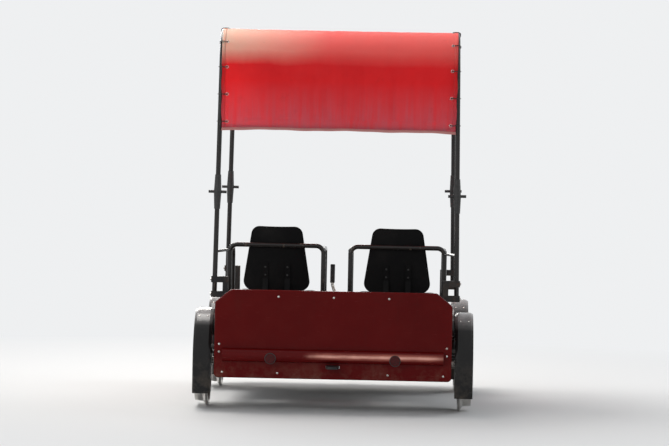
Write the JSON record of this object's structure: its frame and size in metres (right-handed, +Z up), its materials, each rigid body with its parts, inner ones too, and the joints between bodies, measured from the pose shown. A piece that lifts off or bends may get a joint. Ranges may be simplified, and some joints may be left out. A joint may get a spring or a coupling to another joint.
{
  "type": "two-seat pedal rail car",
  "caption": "Pedal-driven rail handcar with two side-by-side seats, a red body, flanged wheels under black guards and a cloth canopy on bent tube hoops.",
  "frame": {"origin": "on the ground under the middle of the car, level with the lowest point of the wheel flanges", "axes": "+X to the car's right, along the axles; +Y forward; +Z up, along the pin of the rear tow tongue"},
  "size_m": [1.527, 2.1198, 2.0897],
  "materials": {
    "frame_steel": "semi-gloss black paint on welded steel",
    "tube_steel": "gloss dark paint on bent steel tube",
    "clamp_black": "black moulded clamp",
    "foot_plate": "checkered aluminium plate",
    "red_body": "gloss red moulded panel, worn at the edges",
    "guard_black": "gloss black moulded guard",
    "seat_black": "moulded black seat shell",
    "wheel_steel": "cast wheel, bright where it rolls",
    "axle_steel": "turned steel",
    "chain_steel": "oiled steel",
    "pedal_rubber": "ribbed black rubber",
    "reflector_red": "dark red prismatic lens",
    "canopy_cloth": "coated red canopy cloth with a pale hem"
  },
  "bodies": {
    "chassis": {"back_straps": "frame_steel", "side_rails": "frame_steel", "cross_beams": "frame_steel", "axle_bearings": "frame_steel", "seat_tubes": "frame_steel", "seat_legs": "frame_steel", "seat_ties": "frame_steel", "crank_stands": "frame_steel", "brake_brackets": "frame_steel", "brake_gear": "frame_steel", "guard_stays": "frame_steel", "tow_tongues": "frame_steel", "post_uprights": "frame_steel", "canopy_hoops": "tube_steel", "canopy_cross_tubes": "tube_steel", "armrests": "tube_steel", "armrest_ties": "tube_steel", "post_collars": "clamp_black", "floor_plate": "foot_plate", "rear_deck": "foot_plate", "rear_panel": "red_body", "front_panel": "red_body", "side_panels": "red_body", "bumpers": "red_body", "wheel_guards_front": "guard_black", "wheel_guards_rear": "guard_black", "chain_guards": "guard_black", "seat_pans": "seat_black", "seat_backs": "seat_black", "brake_rod": "axle_steel", "brake_lever": "axle_steel", "chains": "chain_steel", "reflectors": "reflector_red", "canopy_sheet": "canopy_cloth"},
    "front_axle": {"front_axle_shaft": "axle_steel", "wheel_front_left": "wheel_steel", "wheel_front_right": "wheel_steel", "axle_sprockets": "chain_steel"},
    "rear_axle": {"rear_axle_shaft": "axle_steel", "wheel_rear_left": "wheel_steel", "wheel_rear_right": "wheel_steel"},
    "crank_left": {"crank_arms_left": "axle_steel", "chain_wheel_left": "chain_steel"},
    "crank_right": {"crank_arms_right": "axle_steel", "chain_wheel_right": "chain_steel"},
    "pedal_left_inner": {"pedal_left_inner": "pedal_rubber"},
    "pedal_left_outer": {"pedal_left_outer": "pedal_rubber"},
    "pedal_right_inner": {"pedal_right_inner": "pedal_rubber"},
    "pedal_right_outer": {"pedal_right_outer": "pedal_rubber"}
  },
  "joints": [
    {"name": "front_axle_spin", "type": "hinge", "parent": "chassis", "child": "front_axle", "pos_m": [0, 0.65, 0.25], "axis": [1, 0, 0], "continuous": true},
    {"name": "rear_axle_spin", "type": "hinge", "parent": "chassis", "child": "rear_axle", "pos_m": [0, -0.65, 0.25], "axis": [1, 0, 0], "continuous": true},
    {"name": "crank_left_spin", "type": "hinge", "parent": "chassis", "child": "crank_left", "pos_m": [-0.34, 0.495, 0.52], "axis": [1, 0, 0], "continuous": true},
    {"name": "crank_right_spin", "type": "hinge", "parent": "chassis", "child": "crank_right", "pos_m": [0.34, 0.495, 0.52], "axis": [1, 0, 0], "continuous": true},
    {"name": "pedal_left_inner_spin", "type": "hinge", "parent": "crank_left", "child": "pedal_left_inner", "pos_m": [-0.252, 0.645, 0.52], "axis": [1, 0, 0], "continuous": true},
    {"name": "pedal_left_outer_spin", "type": "hinge", "parent": "crank_left", "child": "pedal_left_outer", "pos_m": [-0.428, 0.345, 0.52], "axis": [1, 0, 0], "continuous": true},
    {"name": "pedal_right_inner_spin", "type": "hinge", "parent": "crank_right", "child": "pedal_right_inner", "pos_m": [0.252, 0.345, 0.52], "axis": [1, 0, 0], "continuous": true},
    {"name": "pedal_right_outer_spin", "type": "hinge", "parent": "crank_right", "child": "pedal_right_outer", "pos_m": [0.428, 0.645, 0.52], "axis": [1, 0, 0], "continuous": true}
  ]
}
